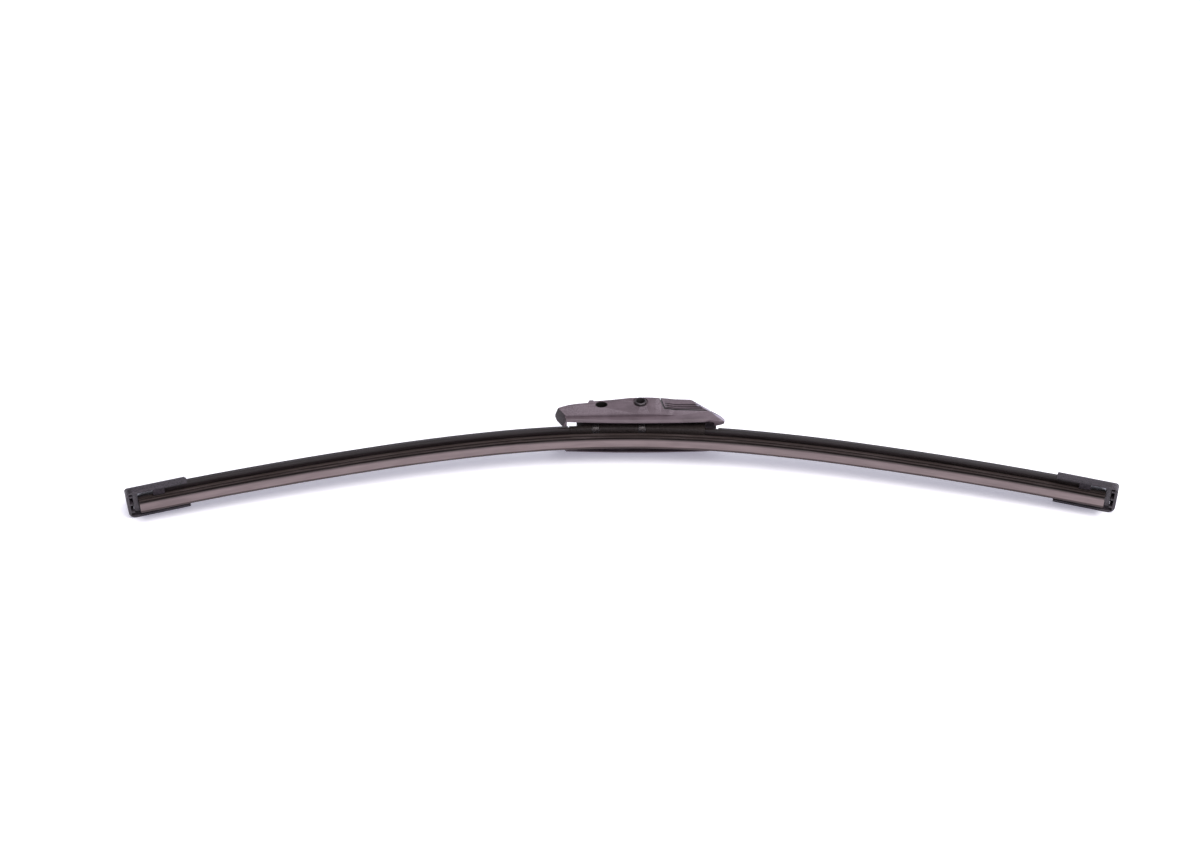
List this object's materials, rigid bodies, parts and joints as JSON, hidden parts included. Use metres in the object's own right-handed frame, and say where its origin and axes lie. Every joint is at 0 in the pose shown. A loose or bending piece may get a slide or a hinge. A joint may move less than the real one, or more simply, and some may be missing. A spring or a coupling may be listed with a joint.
{
  "type": "wiper blade",
  "caption": "Flat windscreen wiper blade: bowed rubber on spring rails under a spoiler, end caps, and a pivoting arm adapter with a hinged lock cover.",
  "frame": {"origin": "middle of the pivot bore that the wiper arm's pin goes through", "axes": "+X along the blade towards the lock cover's hinge, +Y from the wiping edge to the adapter's top, +Z along the pivot bore, across the blade"},
  "size_m": [0.5212, 0.0797, 0.0276],
  "materials": {
    "wiper_rubber": "graphite-coated matt rubber",
    "rail": "bare spring steel",
    "spoiler": "satin extruded elastomer",
    "end_cap": "satin moulded plastic",
    "rail_clip": "moulded plastic",
    "claw_bracket": "dark coated sheet steel",
    "connector_base": "fine matt moulded plastic",
    "pivot_tube": "dark coated steel",
    "adapter": "fine grained moulded plastic",
    "lock_cover": "fine grained moulded plastic"
  },
  "bodies": {
    "blade": {"wiper_rubber": "wiper_rubber", "rail_upper": "rail", "rail_lower": "rail", "spoiler_left": "spoiler", "spoiler_right": "spoiler", "end_cap_left": "end_cap", "end_cap_right": "end_cap", "rail_clip_left": "rail_clip", "rail_clip_right": "rail_clip", "claw_bracket": "claw_bracket", "connector_base": "connector_base", "pivot_tube": "pivot_tube"},
    "adapter": {"adapter_housing": "adapter"},
    "cover": {"lock_cover": "lock_cover"}
  },
  "joints": [
    {"name": "adapter_pivot", "type": "hinge", "parent": "blade", "child": "adapter", "pos_m": [0, 0, 0], "axis": [0, 0, 1], "range_deg": [-3, 3]},
    {"name": "cover_hinge", "type": "hinge", "parent": "adapter", "child": "cover", "pos_m": [0.0357, -0.0034, 0], "axis": [0, 0, -1], "range_deg": [0, 45]}
  ]
}
